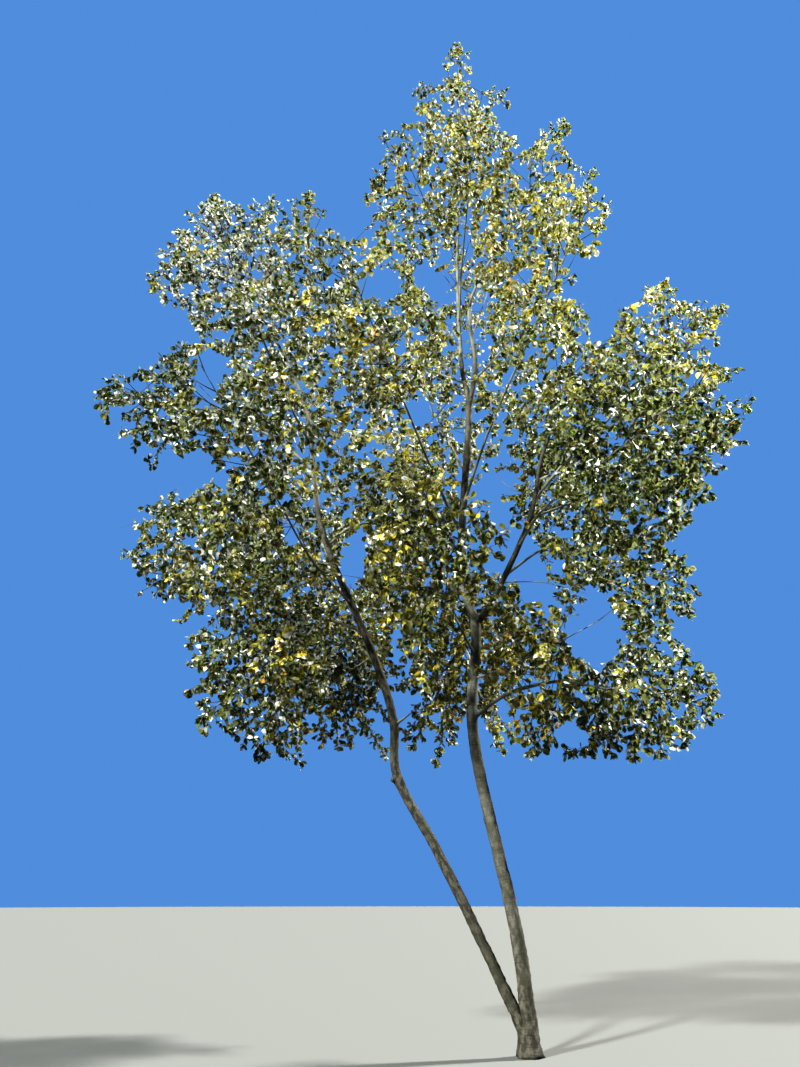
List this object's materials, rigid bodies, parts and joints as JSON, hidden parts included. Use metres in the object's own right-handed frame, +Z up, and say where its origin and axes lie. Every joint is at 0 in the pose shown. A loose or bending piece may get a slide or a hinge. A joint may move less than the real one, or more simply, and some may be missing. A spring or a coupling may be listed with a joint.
{
  "type": "white poplar tree",
  "caption": "Slender white poplar with a leaning trunk and a second stem from one root collar, boughs that fork upwards, and an open crown of leaf masses in early autumn.",
  "frame": {"origin": "middle of the flat cut under the trunk, at ground level", "axes": "+Z up, +X to the right and +Y to the back of the side seen in the picture"},
  "size_m": [9.218, 6.4821, 15.4952],
  "materials": {
    "lower_bark": "rough dark grey-brown bark with furrows near the foot",
    "upper_bark": "smooth pale grey bark with small dark marks",
    "leaves": "matt green leaves, some yellow, with a whitish felted underside"
  },
  "bodies": {
    "root": {"trunk": "lower_bark", "left_stem": "lower_bark", "right_leader": "upper_bark", "upper_front_bough": "upper_bark", "upper_back_bough": "upper_bark", "middle_right_bough": "upper_bark", "front_right_bough": "upper_bark", "front_left_bough": "upper_bark", "back_middle_bough": "upper_bark", "east_bough": "upper_bark", "east_outer_bough": "upper_bark", "right_middle_bough": "upper_bark", "back_right_bough": "upper_bark", "right_front_bough": "upper_bark", "right_low_bough": "upper_bark", "arched_bough": "upper_bark", "low_back_bough": "upper_bark", "north_west_bough": "upper_bark", "inner_bough": "upper_bark", "left_arm": "upper_bark", "left_outer_bough": "upper_bark", "left_front_bough": "upper_bark", "left_back_bough": "upper_bark", "left_top_back_bough": "upper_bark", "left_front_low_bough": "upper_bark", "left_low_bough": "upper_bark", "left_low_back_bough": "upper_bark", "top_leaves": "leaves", "upper_left_leaves": "leaves", "upper_right_leaves": "leaves", "upper_front_leaves": "leaves", "upper_back_leaves": "leaves", "middle_right_leaves": "leaves", "middle_left_leaves": "leaves", "front_right_leaves": "leaves", "front_left_leaves": "leaves", "back_middle_leaves": "leaves", "right_top_leaves": "leaves", "right_middle_leaves": "leaves", "right_inner_leaves": "leaves", "back_right_leaves": "leaves", "right_front_leaves": "leaves", "right_low_leaves": "leaves", "right_skirt_leaves": "leaves", "low_right_leaves": "leaves", "low_back_leaves": "leaves", "inner_leaves": "leaves", "low_middle_leaves": "leaves", "left_top_leaves": "leaves", "left_top_inner_leaves": "leaves", "left_top_back_leaves": "leaves", "left_front_leaves": "leaves", "left_back_leaves": "leaves", "left_arm_leaves": "leaves", "left_outer_leaves": "leaves", "left_front_low_leaves": "leaves", "left_low_leaves": "leaves", "left_low_back_leaves": "leaves"}
  },
  "joints": []
}
